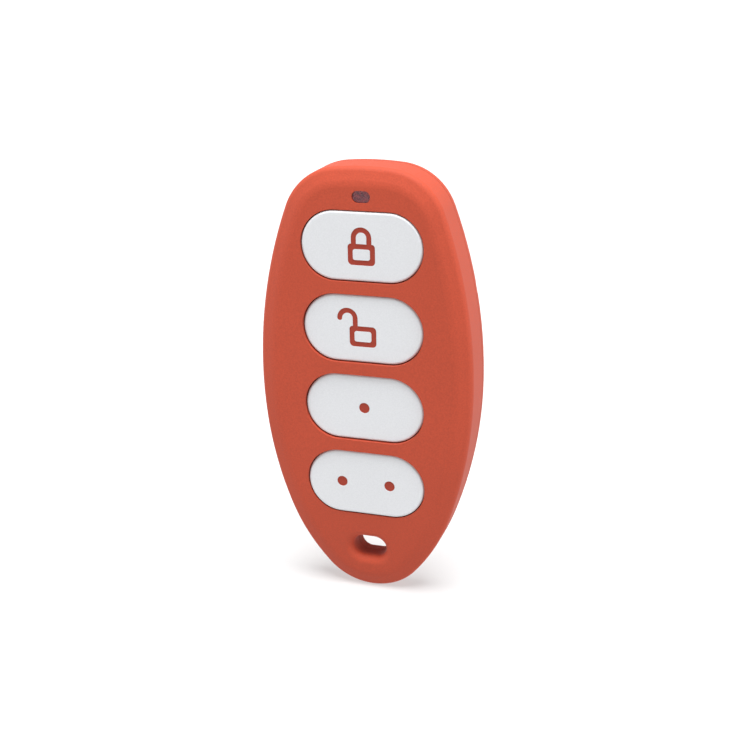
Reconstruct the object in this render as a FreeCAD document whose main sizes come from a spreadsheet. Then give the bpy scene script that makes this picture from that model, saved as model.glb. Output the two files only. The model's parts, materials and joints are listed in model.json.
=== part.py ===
import FreeCAD, Part
import math
import os
import Sketcher
from FreeCAD import Placement, Rotation, Vector

# A key fob transmitter: an egg-shaped two-part housing with four sprung pill keys.
# It stands upright: +Z from the tip to the crown, +X to the right, and the keys face -Y.
# The origin is at the tip, in the middle of the width and of the depth. Millimetres and degrees.

SIZES = {
    # housing outline: an egg of tangent arcs, angles turned from the tip or from the crown
    "overall_width": 35.85,
    "crown_margin": 3.35,
    "widest_height": 38.25,
    "tip_radius": 9.85,
    "tip_arc_angle": 49,
    "lower_side_angle": 70.5,
    "crown_radius": 49,
    "crown_arc_angle": 5.4,
    "upper_side_angle": 69.8,
    # housing edges, and how both faces fall in arcs towards the tip and the front one towards the crown
    "bevel_width": 2.5,
    "bevel_drop": 0.95,
    "bevel_blend_radius": 3,
    "front_edge_radius": 1.0,
    "back_edge_radius": 2.2,
    "nose_front_reach": 30,
    "nose_front_fall": 2.0,
    "nose_back_reach": 36,
    "nose_back_fall": 4.0,
    "crown_front_reach": 30,
    "crown_front_fall": 0.8,
    # key ring slot
    "slot_width": 5.8,
    "slot_height": 3.95,
    "slot_centre_height": 7.85,
    "slot_front_radius": 1.25,
    "slot_back_radius": 1.4,
    # housing walls and seam
    "face_thickness": 2.0,
    "back_thickness": 1.3,
    "wall_thickness": 1.5,
    "cavity_key_gap": 0.55,
    "back_cover_depth": 3.0,
    "seam_gap": 0.1,
    "fit_clearance": 0.05,
    "lip_thickness": 0.8,
    "lip_depth": 1.0,
    "hook_width": 5.6,
    "hook_thickness": 0.8,
    "hook_reach": 0.9,
    "hook_ledge": 0.5,
    # keys
    "button_width": 20.0,
    "button_height": 11.1,
    "button_spacing": 2.3,
    "bottom_key_height": 20.05,
    "button_sink": 0.38,
    "button_gap": 0.15,
    "button_edge_radius": 0.4,
    "cap_top_thickness": 1.0,
    "cap_wall_thickness": 1.0,
    "flange_margin": 0.5,
    "flange_thickness": 0.7,
    "plunger_diameter": 3.0,
    "plunger_length": 0.35,
    "contact_gap": 0.02,
    # icons in the caps
    "icon_stroke": 0.85,
    "icon_groove_depth": 0.6,
    "icon_recess": 0.1,
    "gate_diameter": 0.6,
    "lock_hole_width": 2.8,
    "lock_hole_height": 1.73,
    "lock_corner_radius": 0.7,
    "lock_hole_corner_radius": 0.35,
    "lock_bottom_drop": 2.97,
    "shackle_radius": 1.27,
    "shackle_leg": 0.97,
    "open_shackle_radius": 1.3,
    "open_shackle_leg": 1.2,
    "open_leg_inset": 1.0,
    "dot_diameter": 1.8,
    "dot_spacing": 8.2,
    # tactile switches
    "switch_width": 5.2,
    "switch_height": 0.95,
    "switch_cover_thickness": 0.2,
    "switch_floor_thickness": 0.25,
    "switch_well_diameter": 4.2,
    "stem_diameter": 2.0,
    "stem_stand": 0.45,
    "stem_foot_diameter": 3.6,
    "stem_foot_thickness": 0.15,
    "dome_diameter": 3.8,
    "dome_thickness": 0.07,
    "terminal_length": 0.7,
    "terminal_width": 0.7,
    "terminal_thickness": 0.3,
    "terminal_spacing": 3.7,
    # indicator
    "window_width": 2.95,
    "window_height": 1.8,
    "window_key_gap": 0.55,
    "window_recess": 0.3,
    "window_rim": 0.3,
    "window_rim_thickness": 0.5,
    "light_width": 2.0,
    "light_height": 1.25,
    "light_base_thickness": 0.35,
    "light_lens_thickness": 0.45,
    "light_lens_width": 1.3,
    "light_gap": 0.15,
    # circuit board and what it carries
    "board_thickness": 0.8,
    "board_edge_gap": 1.1,
    "board_end_gap": 1.4,
    "chip_width": 5.0,
    "chip_height": 4.0,
    "chip_thickness": 1.5,
    "chip_row_distance": 6.4,
    "chip_leg_pitch": 1.27,
    "chip_leg_width": 0.4,
    "chip_leg_length": 2.0,
    "chip_leg_thickness": 0.2,
    "crystal_width": 3.2,
    "crystal_height": 5.0,
    "crystal_thickness": 1.1,
    "crystal_offset": 7.2,
    "antenna_width": 1.2,
    "antenna_thickness": 0.4,
    "antenna_edge_gap": 0.6,
    "antenna_reach": 15.8,
    "passive_length": 1.6,
    "passive_width": 0.8,
    "passive_thickness": 0.45,
    "passive_pitch": 2.8,
    "capacitor_pitch": 1.8,
    "resistor_cell_gap": 3.0,
    # coin cell and its contacts
    "cell_diameter": 20.0,
    "cell_thickness": 3.2,
    "cell_drop": 0.6,
    "cell_back_gap": 0.13,
    "cell_cap_diameter": 17.6,
    "cell_cap_thickness": 0.3,
    "cell_edge_radius": 0.25,
    "battery_pad_diameter": 14.0,
    "battery_pad_thickness": 0.15,
    "clip_width": 8.0,
    "clip_thickness": 0.2,
    "clip_foot": 2.0,
    "clip_side_gap": 0.2,
    # posts and screws
    "screw_inset": 5.45,
    "pin_inset": 5.85,
    "boss_diameter": 3.8,
    "board_rest_diameter": 5.0,
    "pin_diameter": 2.0,
    "pin_stand": 0.5,
    "press_post_diameter": 4.0,
    "back_boss_diameter": 5.2,
    "screw_diameter": 2.0,
    "screw_length": 6.0,
    "screw_head_diameter": 3.4,
    "screw_head_thickness": 1.1,
    "screw_head_sink": 0.2,
    "screw_slot_width": 0.5,
    "screw_slot_depth": 0.45,
    "screw_slot_span": 2.2,
    "boss_joint_depth": 2.4,
}

doc = FreeCAD.newDocument("key_fob_transmitter")
sheet = doc.addObject("Spreadsheet::Sheet", "sizes")
for row, (alias, value) in enumerate(SIZES.items(), start=1):
    sheet.set(f"A{row}", alias)
    sheet.set(f"B{row}", str(value))
    sheet.setAlias(f"B{row}", alias)
doc.recompute()

# The stack of pieces from the face to the rear, which adds up to the whole depth
STACK = [
    "face_thickness", "fit_clearance", "flange_thickness", "plunger_length", "contact_gap", "stem_stand",
    "switch_height", "board_thickness", "battery_pad_thickness", "cell_thickness", "clip_thickness",
    "cell_back_gap", "back_thickness",
]
DEPTH = "(" + " + ".join(f"sizes.{layer}" for layer in STACK) + ")"

# Depth levels along Y, from the face back through the stack to the rear
BACK = f"({DEPTH} / 2)"
FACE = f"(-{DEPTH} / 2)"
BUTTON_TOP = f"({FACE} + sizes.button_sink)"
FACE_INNER = f"({FACE} + sizes.face_thickness)"
FLANGE_FRONT = f"({FACE_INNER} + sizes.fit_clearance)"
FLANGE_BACK = f"({FLANGE_FRONT} + sizes.flange_thickness)"
PLUNGER_END = f"({FLANGE_BACK} + sizes.plunger_length)"
STEM_TOP = f"({PLUNGER_END} + sizes.contact_gap)"
SWITCH_TOP = f"({STEM_TOP} + sizes.stem_stand)"
SWITCH_BASE_TOP = f"({SWITCH_TOP} + sizes.switch_cover_thickness)"
BOARD_FRONT = f"({SWITCH_TOP} + sizes.switch_height)"
BOARD_BACK = f"({BOARD_FRONT} + sizes.board_thickness)"
SWITCH_FLOOR = f"({BOARD_FRONT} - sizes.switch_floor_thickness)"
CELL_FRONT = f"({BOARD_BACK} + sizes.battery_pad_thickness)"
CELL_BACK = f"({CELL_FRONT} + sizes.cell_thickness)"
CLIP_BACK = f"({CELL_BACK} + sizes.clip_thickness)"
BACK_INNER = f"({BACK} - sizes.back_thickness)"
PARTING = f"({BACK} - sizes.back_cover_depth)"
BACK_COVER_FRONT = f"({PARTING} + sizes.seam_gap)"
BOSS_JOINT = f"({BACK} - sizes.boss_joint_depth)"
SCREW_SEAT = f"({BACK} - sizes.screw_head_sink - sizes.screw_head_thickness)"
CAP_FLOOR = f"({BUTTON_TOP} + sizes.cap_top_thickness)"
GROOVE_FLOOR = f"({BUTTON_TOP} + sizes.icon_groove_depth)"
FOOT_FRONT = f"({SWITCH_BASE_TOP} + sizes.contact_gap)"
FOOT_BACK = f"({FOOT_FRONT} + sizes.stem_foot_thickness)"
WINDOW_RIM_BACK = f"({FACE_INNER} + sizes.window_rim_thickness)"
LIGHT_TOP = f"({BOARD_FRONT} - sizes.light_base_thickness - sizes.light_lens_thickness)"
# posts and bosses are rooted part way into the wall that carries them
FACE_ROOT = f"({FACE_INNER} - sizes.face_thickness / 2)"
BACK_ROOT = f"({BACK_INNER} + sizes.back_thickness / 3)"

# Insets of the lip from the outline, the hollow of a key's cap, and a loose hole's extra diameter
LIP_OUTER = "(sizes.wall_thickness + sizes.fit_clearance)"
LIP_INNER = f"({LIP_OUTER} + sizes.lip_thickness)"
HOLLOW_WIDTH = "(sizes.button_width - 2 * sizes.cap_wall_thickness)"
HOLLOW_HEIGHT = "(sizes.button_height - 2 * sizes.cap_wall_thickness)"
LOOSE = "(4 * sizes.fit_clearance)"


def fallen(face, distance):
    """How far a face that falls in an arc has fallen at a distance past the arc's start."""
    fall, reach = f"sizes.{face}_fall", f"sizes.{face}_reach"
    radius = f"(({fall} ^ 2 + {reach} ^ 2) / (2 * {fall}))"
    return f"({radius} - sqrt({radius} ^ 2 - {distance} ^ 2))"


# Heights along Z: the four keys from the bottom one up, and the posts between the outer pairs of them
KEYS = ["two_dots", "one_dot", "unlock", "lock"]
PITCH = "(sizes.button_height + sizes.button_spacing)"
ROW_HEIGHTS = {key: f"(sizes.bottom_key_height + {step} * {PITCH})" for step, key in enumerate(KEYS)}
ROWS_MIDDLE = f"(sizes.bottom_key_height + {(len(KEYS) - 1) / 2} * {PITCH})"
SCREW_HEIGHT = f"({ROWS_MIDDLE} + {PITCH})"
PIN_HEIGHT = f"({ROWS_MIDDLE} - {PITCH})"
# the hollow starts under the lowest key's flange; the window and the crown follow above the highest one's
FLANGE_REACH = "(sizes.button_height / 2 + sizes.flange_margin)"
WINDOW_REACH = "(sizes.window_height / 2 + sizes.window_rim)"
CAVITY_BOTTOM = f"({ROW_HEIGHTS['two_dots']} - {FLANGE_REACH} - sizes.cavity_key_gap)"
WINDOW_CENTRE = f"({ROW_HEIGHTS['lock']} + {FLANGE_REACH} + sizes.window_key_gap + {WINDOW_REACH})"
LENGTH = f"({WINDOW_CENTRE} + {WINDOW_REACH} + sizes.crown_margin)"
# how far the rear face has fallen at the hollow's floor, and the front one at the window
FLOOR_FALL = fallen("nose_back", f"(sizes.nose_back_reach - {CAVITY_BOTTOM})")
WINDOW_FALL = fallen("crown_front", f"({WINDOW_CENTRE} - {LENGTH} + sizes.crown_front_reach)")
HOOK_BACK = f"({PARTING} - {FLOOR_FALL} - sizes.hook_ledge)"
HOOK_FRONT = f"({HOOK_BACK} - sizes.hook_thickness)"
# what the board carries, from the cell up
CELL_CENTRE = f"({ROWS_MIDDLE} - sizes.cell_drop)"
RESISTOR_ROW = f"({CELL_CENTRE} + sizes.cell_diameter / 2 + sizes.resistor_cell_gap)"
CHIP_CENTRE = f"({RESISTOR_ROW} + sizes.chip_row_distance)"
ANTENNA_BOTTOM = f"({LENGTH} - sizes.antenna_reach)"

# Spans that reach past the whole object along X, Y and Z, for tools
WIDTH_SPAN = ("-sizes.overall_width", "sizes.overall_width")
DEPTH_SPAN = (f"-{DEPTH}", DEPTH)
HEIGHT_SPAN = (f"-{LENGTH}", f"2 * {LENGTH}")
SIDES = {"left": "-1", "right": "1"}
CHIP_LEGS_PER_ROW, RESISTORS, CAPACITORS = 4, 6, 4

# Working allowances: ends closer than TOUCHING meet, and an open cut runs SPARE past the tip
TOUCHING = 1e-6
SPARE = 3
# Limits on a face normal's Y part: upright walls, bevelled or flat faces, nearly flat faces
UPRIGHT, STEEP, NEARLY_FLAT = 0.02, 0.3, 0.8


def number(expression):
    """The present value of an expression over the sheet."""
    return float(sheet.evalExpression(expression))


# Sketch helpers

def dimension(sketch, kind, *where, expression):
    """Adds a driving dimension that follows an expression."""
    index = sketch.addConstraint(Sketcher.Constraint(kind, *where, number(expression)))
    sketch.setExpression(f"Constraints[{index}]", expression)


def upright_sketch(name, level):
    """A free sketch in an upright plane at a depth; its normal points to the front."""
    sketch = doc.addObject("Sketcher::SketchObject", name)
    sketch.Placement = Placement(Vector(0, 0, 0), Rotation(Vector(1, 0, 0), 90))
    sketch.setExpression("Placement.Base.y", level)
    return sketch


def body_sketch(body, name, role, offset="0"):
    """A sketch on one of a body's own origin planes, moved along the plane's normal."""
    plane = next(feature for feature in body.Origin.OriginFeatures if feature.Role == role)
    sketch = body.newObject("Sketcher::SketchObject", name)
    sketch.AttachmentSupport = [(plane, "")]
    sketch.MapMode = "FlatFace"
    sketch.setExpression("AttachmentOffset.Base.z", offset)
    return sketch


def level_sketch(body, name, level):
    """A body's sketch facing the front at a depth along Y."""
    return body_sketch(body, name, "XZ_Plane", f"-{level}")


def blend_radii(half_width, height, end_radius, end_angle, side_angle):
    """The two arc radii that lead from an end arc to an upright side, tangent all the way."""
    end, side = math.radians(end_angle), math.radians(side_angle)
    across = half_width - end_radius * math.sin(end)
    along = height - end_radius * (1 - math.cos(end))
    blend_across, side_across = math.sin(side) - math.sin(end), 1 - math.sin(side)
    blend_along, side_along = math.cos(end) - math.cos(side), math.cos(side)
    scale = blend_across * side_along - side_across * blend_along
    blend = (across * side_along - side_across * along) / scale
    side_radius = (blend_across * along - blend_along * across) / scale
    return blend, side_radius


def add_egg(sketch, inset="0"):
    """Draws the housing's egg outline, drawn in all round by an inset."""
    tip, crown = number("sizes.tip_radius"), number("sizes.crown_radius")
    tip_angle, crown_angle = number("sizes.tip_arc_angle"), number("sizes.crown_arc_angle")
    lower_angle, upper_angle = number("sizes.lower_side_angle"), number("sizes.upper_side_angle")
    half_width, lower_height = number("sizes.overall_width / 2"), number("sizes.widest_height")
    upper_height = number(f"{LENGTH} - sizes.widest_height")
    lower_blend, lower_side = blend_radii(half_width, lower_height, tip, tip_angle, lower_angle)
    upper_blend, upper_side = blend_radii(half_width, upper_height, crown, crown_angle, upper_angle)
    # each arc's radius and the direction where it ends, turned from straight down, counterclockwise
    arcs = [
        (tip, tip_angle),
        (lower_blend, lower_angle),
        (lower_side, 90),
        (upper_side, 180 - upper_angle),
        (upper_blend, 180 - crown_angle),
        (crown, 180 + crown_angle),
        (upper_blend, 180 + upper_angle),
        (upper_side, 270),
        (lower_side, 360 - lower_angle),
        (lower_blend, 360 - tip_angle),
    ]
    tip_arc, right_side, crown_arc, left_side = 0, 2, 5, 7
    centre, start = Vector(0, tip, 0), -tip_angle
    for index, (radius, end) in enumerate(arcs):
        circle = Part.Circle(centre, Vector(0, 0, 1), radius - number(inset))
        sketch.addGeometry(Part.ArcOfCircle(circle, math.radians(start - 90), math.radians(end - 90)))
        next_radius = arcs[(index + 1) % len(arcs)][0]
        turned = math.radians(end)
        centre = centre + Vector(math.sin(turned), -math.cos(turned), 0) * (radius - next_radius)
        start = end
    for index in range(len(arcs)):
        joint = Sketcher.Constraint("Tangent", index, 2, (index + 1) % len(arcs), 1)
        sketch.addConstraint(joint)
    sketch.addConstraint(Sketcher.Constraint("PointOnObject", tip_arc, 3, -2))
    sketch.addConstraint(Sketcher.Constraint("PointOnObject", crown_arc, 3, -2))
    half = f"sizes.overall_width / 2 - ({inset})"
    dimension(sketch, "Radius", tip_arc, expression=f"sizes.tip_radius - ({inset})")
    dimension(sketch, "Radius", crown_arc, expression=f"sizes.crown_radius - ({inset})")
    dimension(sketch, "DistanceY", -1, 1, tip_arc, 3, expression="sizes.tip_radius")
    crown_height = f"{LENGTH} - sizes.crown_radius"
    dimension(sketch, "DistanceY", -1, 1, crown_arc, 3, expression=crown_height)
    dimension(sketch, "DistanceX", -1, 1, right_side, 2, expression=half)
    dimension(sketch, "DistanceY", -1, 1, right_side, 2, expression="sizes.widest_height")
    dimension(sketch, "DistanceX", left_side, 2, -1, 1, expression=half)
    dimension(sketch, "DistanceY", -1, 1, left_side, 2, expression="sizes.widest_height")


def add_pill(sketch, width, height, centre_height="0"):
    """Draws a lying obround, its ends half circles."""
    radius = number(f"({height}) / 2")
    reach = number(f"(({width}) - ({height})) / 2")
    middle = number(centre_height)
    left, right = Vector(-reach, middle, 0), Vector(reach, middle, 0)
    up = Vector(0, radius, 0)
    normal = Vector(0, 0, 1)
    bottom = sketch.addGeometry(Part.LineSegment(left - up, right - up))
    right_end = Part.ArcOfCircle(Part.Circle(right, normal, radius), -math.pi / 2, math.pi / 2)
    right_arc = sketch.addGeometry(right_end)
    top = sketch.addGeometry(Part.LineSegment(right + up, left + up))
    left_end = Part.ArcOfCircle(Part.Circle(left, normal, radius), math.pi / 2, 3 * math.pi / 2)
    left_arc = sketch.addGeometry(left_end)
    loop = [bottom, right_arc, top, left_arc]
    for index, piece in enumerate(loop):
        sketch.addConstraint(Sketcher.Constraint("Tangent", piece, 2, loop[(index + 1) % 4], 1))
    sketch.addConstraint(Sketcher.Constraint("Horizontal", bottom))
    dimension(sketch, "Radius", right_arc, expression=f"({height}) / 2")
    dimension(sketch, "DistanceX", -1, 1, right_arc, 3, expression=f"(({width}) - ({height})) / 2")
    dimension(sketch, "DistanceX", left_arc, 3, -1, 1, expression=f"(({width}) - ({height})) / 2")
    if centre_height == "0":
        sketch.addConstraint(Sketcher.Constraint("PointOnObject", right_arc, 3, -1))
    else:
        dimension(sketch, "DistanceY", -1, 1, right_arc, 3, expression=centre_height)


def item_ends(item):
    """Where an outline item starts and ends: a bare point, or an arc (centre, radius, from, to)."""
    if isinstance(item, Vector):
        return item, item
    centre, radius, begin, finish = item
    ends = [centre + Vector(math.cos(math.radians(turn)), math.sin(math.radians(turn)), 0) * radius
            for turn in (begin, finish)]
    return ends[0], ends[1]


def add_outline(sketch, items):
    """Draws a closed outline through points and arcs in turn, with straight sides between them."""
    first = sketch.GeometryCount
    loop = []
    for index, item in enumerate(items):
        start, end = item_ends(item)
        if not isinstance(item, Vector):
            centre, radius, begin, finish = item
            low, high = sorted((math.radians(begin), math.radians(finish)))
            sketch.addGeometry(Part.ArcOfCircle(Part.Circle(centre, Vector(0, 0, 1), radius), low, high))
            loop.append((1, 2) if finish > begin else (2, 1))
        following = item_ends(items[(index + 1) % len(items)])[0]
        if end.distanceToPoint(following) > TOUCHING:
            sketch.addGeometry(Part.LineSegment(end, following))
            loop.append((1, 2))
    for index, (_, last_end) in enumerate(loop):
        after = (index + 1) % len(loop)
        ends = Sketcher.Constraint("Coincident", first + index, last_end, first + after, loop[after][0])
        sketch.addConstraint(ends)


def add_rectangle(sketch, width, height):
    """Draws a rectangle centred on the sketch's origin."""
    half_width, half_height = number(f"({width}) / 2"), number(f"({height}) / 2")
    corners = [
        Vector(-half_width, -half_height, 0),
        Vector(half_width, -half_height, 0),
        Vector(half_width, half_height, 0),
        Vector(-half_width, half_height, 0),
    ]
    add_outline(sketch, corners)
    for side, kind in enumerate(["Horizontal", "Vertical", "Horizontal", "Vertical"]):
        sketch.addConstraint(Sketcher.Constraint(kind, side))
    sketch.addConstraint(Sketcher.Constraint("Symmetric", 0, 1, 2, 1, -1, 1))
    dimension(sketch, "DistanceX", 0, 1, 0, 2, expression=f"({width})")
    dimension(sketch, "DistanceY", 1, 1, 1, 2, expression=f"({height})")


def add_circle(sketch, diameter, centre=(0, 0)):
    """Draws a circle; its centre stays where it is drawn."""
    x, y = centre
    circle = sketch.addGeometry(Part.Circle(Vector(x, y, 0), Vector(0, 0, 1), number(f"({diameter}) / 2")))
    dimension(sketch, "Radius", circle, expression=f"({diameter}) / 2")
    if (x, y) == (0, 0):
        sketch.addConstraint(Sketcher.Constraint("Coincident", circle, 3, -1, 1))


# Modelling helpers

nodes = []


def node(item, name):
    """Names a finished piece and puts it on the list to be written."""
    item.Label = name
    nodes.append(item)
    return item


def check_change(feature, base):
    """Stops when a feature left the solid as it was."""
    doc.recompute()
    if abs(feature.Shape.Volume - base.Shape.Volume) < TOUCHING:
        raise RuntimeError(f"{feature.Name} changed nothing")


def new_body(name):
    body = doc.addObject("PartDesign::Body", name)
    body.Label = name
    return body


def pad(body, sketch, length, backwards=False):
    """Adds material from a sketch towards the front, or backwards."""
    feature = body.newObject("PartDesign::Pad", f"{sketch.Name}_pad")
    feature.Profile = sketch
    feature.Reversed = backwards
    feature.setExpression("Length", length)
    doc.recompute()
    return feature


def pocket(body, sketch, depth, forwards=False):
    """Takes material away from a sketch towards the back, or forwards."""
    base = body.Tip
    feature = body.newObject("PartDesign::Pocket", f"{sketch.Name}_pocket")
    feature.Profile = sketch
    feature.Reversed = forwards
    feature.setExpression("Length", depth)
    check_change(feature, base)
    return feature


def through_pocket(body, sketch):
    """Takes material away right through, both ways from a sketch."""
    base = body.Tip
    feature = body.newObject("PartDesign::Pocket", f"{sketch.Name}_pocket")
    feature.Profile = sketch
    feature.Type = "ThroughAll"
    feature.Midplane = True
    check_change(feature, base)
    return feature


def round_edges(body, edges, radius):
    """Rounds chosen edges of the body as it stands."""
    base = body.Tip
    feature = body.newObject("PartDesign::Fillet", f"{base.Name}_round")
    feature.Base = (base, edges)
    feature.setExpression("Radius", radius)
    check_change(feature, base)
    return feature


def facing_pair(shape, edge):
    """The Y parts of the normals of the two faces at an edge's middle, the more forward one first."""
    middle = edge.valueAt((edge.FirstParameter + edge.LastParameter) / 2)
    faces = shape.ancestorsOfType(edge, Part.Face)
    return sorted(face.normalAt(*face.Surface.parameter(middle)).y for face in faces)


def edges_where(shape, wanted):
    """The names of the edges for which a test of edge and shape holds."""
    return [f"Edge{index}" for index, edge in enumerate(shape.Edges, start=1) if wanted(shape, edge)]


def edges_at_level(shape, level):
    """The names of the edges that lie in an upright plane."""
    depth = number(level)

    def in_plane(_, edge):
        return max(abs(vertex.Y - depth) for vertex in edge.Vertexes) < TOUCHING

    return edges_where(shape, in_plane)


def block(name, across, deep, tall):
    """A box between pairs of positions along X, Y and Z."""
    box = doc.addObject("Part::Box", name)
    for axis, side, (low, high) in zip("xyz", ("Length", "Width", "Height"), (across, deep, tall)):
        box.setExpression(f"Placement.Base.{axis}", low)
        box.setExpression(side, f"({high}) - ({low})")
    return box


def cylinder(name, diameter, front, back, across, height):
    """A round rod along Y between two levels."""
    rod = doc.addObject("Part::Cylinder", name)
    rod.Placement = Placement(Vector(0, 0, 0), Rotation(Vector(1, 0, 0), -90))
    rod.setExpression("Radius", f"({diameter}) / 2")
    rod.setExpression("Height", f"({back}) - ({front})")
    for axis, place in zip("xyz", (across, front, height)):
        rod.setExpression(f"Placement.Base.{axis}", place)
    return rod


def extruded(name, sketch, length):
    """A solid from a free sketch towards the front."""
    solid = doc.addObject("Part::Extrusion", name)
    solid.Base = sketch
    solid.DirMode = "Normal"
    solid.Solid = True
    solid.setExpression("LengthFwd", length)
    return solid


def egg_prism(name, inset, front, back):
    """The housing outline, drawn in by an inset, as a prism between two levels."""
    sketch = upright_sketch(f"{name}_outline", back)
    add_egg(sketch, inset)
    return extruded(name, sketch, f"({back}) - ({front})")


def pill_prism(name, width, height, front, back, centre_height):
    """A lying obround prism between two levels."""
    sketch = upright_sketch(f"{name}_outline", back)
    add_pill(sketch, width, height, centre_height)
    return extruded(name, sketch, f"({back}) - ({front})")


def joined(name, pieces):
    fuse = doc.addObject("Part::MultiFuse", name)
    fuse.Shapes = pieces
    return fuse


def cut(name, base, tools):
    """A piece less one or more tools."""
    result = doc.addObject("Part::Cut", name)
    result.Base = base
    result.Tool = tools[0] if len(tools) == 1 else joined(f"{name}_tools", tools)
    return result


def common(name, base, tool):
    result = doc.addObject("Part::Common", name)
    result.Base = base
    result.Tool = tool
    return result


def group(name, pieces):
    """Separate solids kept as one node."""
    compound = doc.addObject("Part::Compound", name)
    compound.Links = pieces
    return node(compound, name)


# Housing form: the outside of both covers together, with the key ring slot through it

def add_fall(sketch, level, face):
    """Draws what is cut away where a face at a depth falls in an arc to the tip or to the crown."""
    depth, drop, reach = number(level), number(f"sizes.{face}_fall"), number(f"sizes.{face}_reach")
    radius = (drop ** 2 + reach ** 2) / (2 * drop)
    turn = math.degrees(math.asin(min(1, (reach + SPARE) / radius)))
    if face == "nose_back":
        arc, outside = (Vector(depth - radius, reach, 0), radius, 0, -turn), depth + SPARE
    elif face == "nose_front":
        arc, outside = (Vector(depth + radius, reach, 0), radius, 180, 180 + turn), depth - SPARE
    else:
        start = number(LENGTH) - reach
        arc, outside = (Vector(depth + radius, start, 0), radius, 180, 180 - turn), depth - SPARE
    first, last = item_ends(arc)
    add_outline(sketch, [arc, Vector(outside, last.y, 0), Vector(outside, first.y, 0)])


def is_front_rim(shape, edge):
    forward, other = facing_pair(shape, edge)
    return forward < -STEEP and abs(other) < UPRIGHT


def is_back_rim(shape, edge):
    forward, other = facing_pair(shape, edge)
    return abs(forward) < UPRIGHT and other > STEEP


def is_bevel_edge(shape, edge):
    forward, other = facing_pair(shape, edge)
    return other < -NEARLY_FLAT and other - forward > UPRIGHT


def is_slot_mouth(backwards):
    """A test for the edges round one mouth of the key ring slot."""
    reach = number("sizes.slot_width / 2") + TOUCHING
    low = number("sizes.slot_centre_height - sizes.slot_height / 2") - TOUCHING
    high = number("sizes.slot_centre_height + sizes.slot_height / 2") + TOUCHING

    def wanted(_, edge):
        points = [vertex.Point for vertex in edge.Vertexes]
        in_slot = all(abs(point.x) <= reach and low <= point.z <= high for point in points)
        one_side = all((point.y > 0) == backwards for point in points)
        return in_slot and one_side

    return wanted


form = new_body("housing_form")
form_outline = level_sketch(form, "form_outline", BACK)
add_egg(form_outline)
pad(form, form_outline, f"{BACK} - {FACE}")
falls = body_sketch(form, "falls", "YZ_Plane")
add_fall(falls, FACE, "nose_front")
add_fall(falls, FACE, "crown_front")
add_fall(falls, BACK, "nose_back")
fallen_form = through_pocket(form, falls)
bevel = form.newObject("PartDesign::Chamfer", "face_bevel")
bevel.Base = (fallen_form, edges_where(fallen_form.Shape, is_front_rim))
bevel.ChamferType = "Two distances"
bevel.setExpression("Size", "sizes.bevel_drop")
bevel.setExpression("Size2", "sizes.bevel_width")
check_change(bevel, fallen_form)
round_edges(form, edges_where(form.Tip.Shape, is_front_rim), "sizes.front_edge_radius")
round_edges(form, edges_where(form.Tip.Shape, is_back_rim), "sizes.back_edge_radius")
round_edges(form, edges_where(form.Tip.Shape, is_bevel_edge), "sizes.bevel_blend_radius")
slot_outline = level_sketch(form, "slot_outline", BACK)
add_pill(slot_outline, "sizes.slot_width", "sizes.slot_height", "sizes.slot_centre_height")
through_pocket(form, slot_outline)
round_edges(form, edges_where(form.Tip.Shape, is_slot_mouth(backwards=False)), "sizes.slot_front_radius")
round_edges(form, edges_where(form.Tip.Shape, is_slot_mouth(backwards=True)), "sizes.slot_back_radius")


# Covers and the screws that hold them together

def below(name, height):
    """All the space under a height, as a tool."""
    return block(name, WIDTH_SPAN, DEPTH_SPAN, (HEIGHT_SPAN[0], height))


def behind(name, level):
    """All the space behind a depth that falls towards the tip as the rear face does, as a tool."""
    profile = doc.addObject("Sketcher::SketchObject", f"{name}_profile")
    profile.Placement = Placement(Vector(0, 0, 0), Rotation(Vector(1, 1, 1), 120))
    add_fall(profile, level, "nose_back")
    wedge = extruded(f"{name}_wedge", profile, "2 * sizes.overall_width")
    wedge.Symmetric = True
    rear = block(f"{name}_rear", WIDTH_SPAN, (level, f"2 * {DEPTH}"), HEIGHT_SPAN)
    return joined(name, [rear, wedge])


def at_posts(inset, height):
    """The places of a left and a right post, set in from the widest sides: name, X and Z."""
    return [(side, f"({sign} * (sizes.overall_width / 2 - {inset}))", height) for side, sign in SIDES.items()]


SCREW_PLACES = at_posts("sizes.screw_inset", SCREW_HEIGHT)
PIN_PLACES = at_posts("sizes.pin_inset", PIN_HEIGHT)


def rods(name, diameter, front, back, places):
    """One rod at each of some places."""
    return [cylinder(f"{side}_{name}", diameter, front, back, x, z) for side, x, z in places]


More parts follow.
